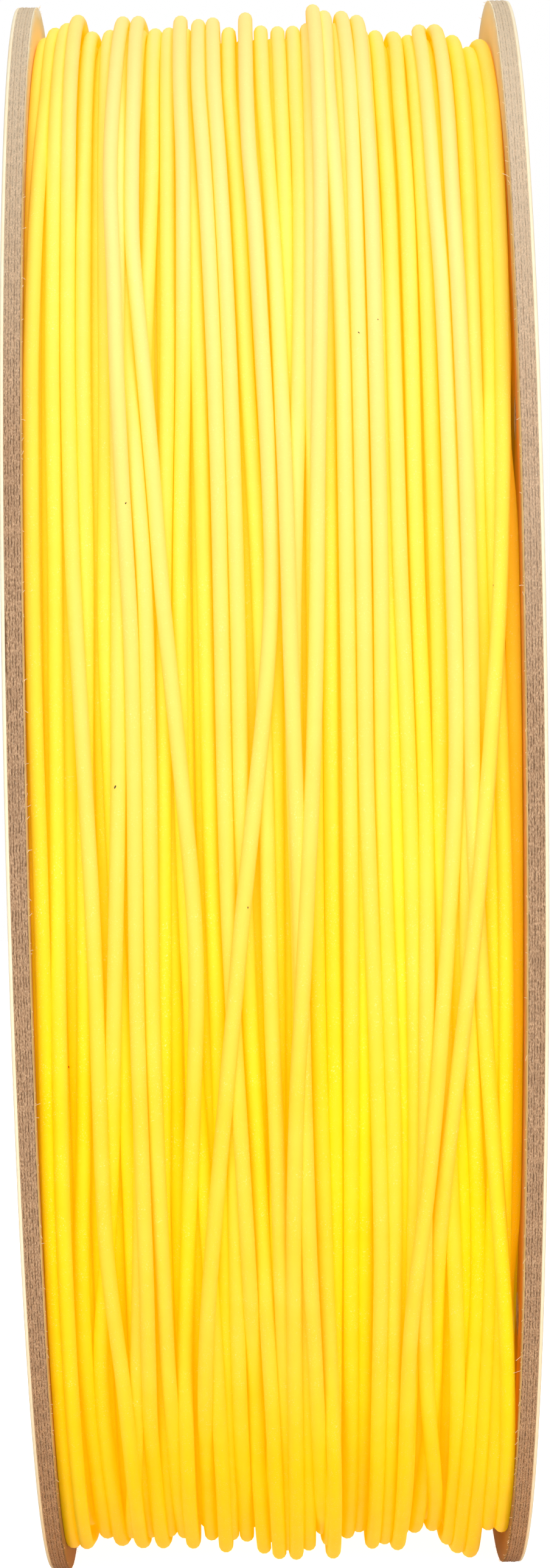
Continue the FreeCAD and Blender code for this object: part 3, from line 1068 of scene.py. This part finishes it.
def floor():
    """Pale floor, white to the camera where no shadow lies."""
    corners = [(x * FLOOR_HALF, y * FLOOR_HALF, FLOOR_Z)
               for x, y in ((-1, -1), (1, -1), (1, 1), (-1, 1))]
    obj = mesh_object("floor", corners, [(0, 1, 2, 3)])
    look = Look("floor", 1.0, 0.0)
    emission = look.nodes.new("ShaderNodeEmission")
    look.put((1, 1, 1), emission.inputs["Color"])
    level = level_where_seen(look.material.node_tree, 0.0, FLOOR_GLOW)
    look.put(level, emission.inputs["Strength"])
    add = look.nodes.new("ShaderNodeAddShader")
    look.put(look.shader.outputs["BSDF"], add.inputs[0])
    look.put(emission.outputs["Emission"], add.inputs[1])
    look.put(add.outputs["Shader"], look.nodes["Material Output"].inputs["Surface"])
    dress(obj, look.finish((FLOOR_TONE, FLOOR_TONE, FLOOR_TONE)))


def area_light(name, place, target, size, power):
    light = bpy.data.lights.new(name, "AREA")
    light.shape = "RECTANGLE"
    light.size, light.size_y = size
    light.energy = power
    obj = bpy.data.objects.new(name, light)
    obj.location = place
    obj.rotation_euler = (Vector(target) - Vector(place)).to_track_quat("-Z", "Y").to_euler()
    bpy.context.scene.collection.objects.link(obj)


def camera():
    """The photo's camera: almost square to the axis, and rolled by under a degree."""
    yaw = Matrix.Rotation(CAMERA_YAW, 3, "Z")
    pitch = Matrix.Rotation(CAMERA_PITCH, 3, "X")
    roll = Matrix.Rotation(CAMERA_ROLL, 3, "Y")
    turned = yaw @ pitch @ roll
    right, forward, up = turned.col[0], turned.col[1], turned.col[2]
    data = bpy.data.cameras.new("camera")
    data.lens = CAMERA_LENS
    data.sensor_width = 36.0
    data.sensor_fit = "AUTO"
    obj = bpy.data.objects.new("camera", data)
    matrix = Matrix((right, up, -forward)).transposed().to_4x4()
    matrix.translation = Vector(CAMERA_PLACE)
    obj.matrix_world = matrix
    bpy.context.scene.collection.objects.link(obj)
    bpy.context.scene.camera = obj


def studio():
    scene = bpy.context.scene
    scene.view_settings.view_transform = "Standard"
    scene.cycles.diffuse_bounces = DIFFUSE_BOUNCES
    world_light()
    floor()
    for lamp in LAMPS:
        area_light(*lamp)


def main():
    camera()
    studio()
    strand = strand_material()
    paper = paper_material(
        "facing_paper", (1.0, 0.84, 0.57), (1.0, 0.90, 0.66), (0.92, 0.71, 0.44))
    # The liner takes painted light towards the top and painted shade at the bottom
    liner = paper_material(
        "liner_paper", (0.59, 0.37, 0.14), (0.71, 0.47, 0.19), (0.46, 0.28, 0.10), 0.85)
    finishes = {
        "outer_facing": (paper, "facing_paper"), "inner_facing": (liner, "facing_paper"),
        "sheet": (board_material(), "grey_board")}
    ring_board = cut_board_material()
    glue = glue_material()

    pieces, radii, turns_x = winding()
    ribbed = drum()
    for piece in pieces + [ribbed]:
        dress(piece, strand)
        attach(piece, "root")
    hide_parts("strand_inner_layers")
    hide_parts("strand_outer_turns", "strand_free_end")

    flakes = specks(radii, turns_x)
    dress(flakes, speck_material())
    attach(flakes, "root")

    for node, obj in flanges().items():
        layer = node.split("_", 1)[1]
        material, slot = finishes.get(layer, finishes["sheet"])
        dress(obj, material)
        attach(obj, "root")
        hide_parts(node)
    for obj in liner_hairs():
        dress(obj, paper)
        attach(obj, "root")

    for side, _ in SIDES:
        dress(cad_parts[side + "_locating_ring"], ring_board)
        dress(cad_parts[side + "_glue_bead"], glue)
    dress(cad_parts["core_tube"], tube_material())
    dress(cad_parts["strand_inner_end"], strand)


main()
